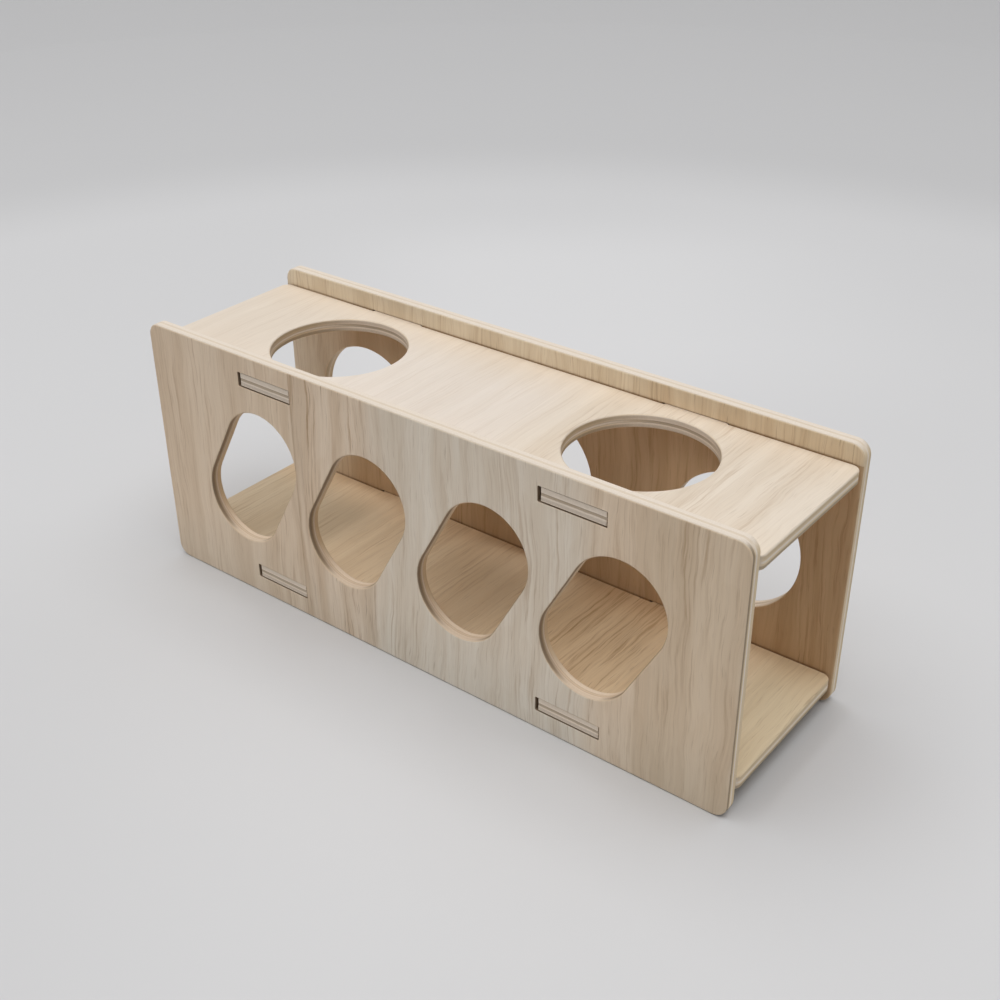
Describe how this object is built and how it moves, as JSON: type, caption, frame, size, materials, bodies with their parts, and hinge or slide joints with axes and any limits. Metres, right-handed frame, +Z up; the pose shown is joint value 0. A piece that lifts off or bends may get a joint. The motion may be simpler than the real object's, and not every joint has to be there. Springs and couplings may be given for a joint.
{
  "type": "wooden hamster maze",
  "caption": "Plywood tunnel maze for a hamster: slotted side panels held by a tabbed roof and a raised floor, with leaning front windows, round rear windows and round roof hatches.",
  "frame": {"origin": "on the table, under the middle of the maze", "axes": "+X along the tunnel, to the right as seen from the front; +Y from the front panel to the rear panel; +Z up"},
  "size_m": [0.2, 0.06, 0.08],
  "materials": {
    "front_plywood": "unfinished oak-faced plywood, sanded, grain upright",
    "rear_plywood": "unfinished oak-faced plywood, sanded, grain upright",
    "roof_plywood": "unfinished pale plywood, sanded, grain across the tunnel",
    "floor_plywood": "unfinished oak-faced plywood, sanded, grain across the tunnel"
  },
  "bodies": {
    "root": {"front_panel": "front_plywood", "rear_panel": "rear_plywood", "roof_panel": "roof_plywood", "floor_panel": "floor_plywood"}
  },
  "joints": []
}
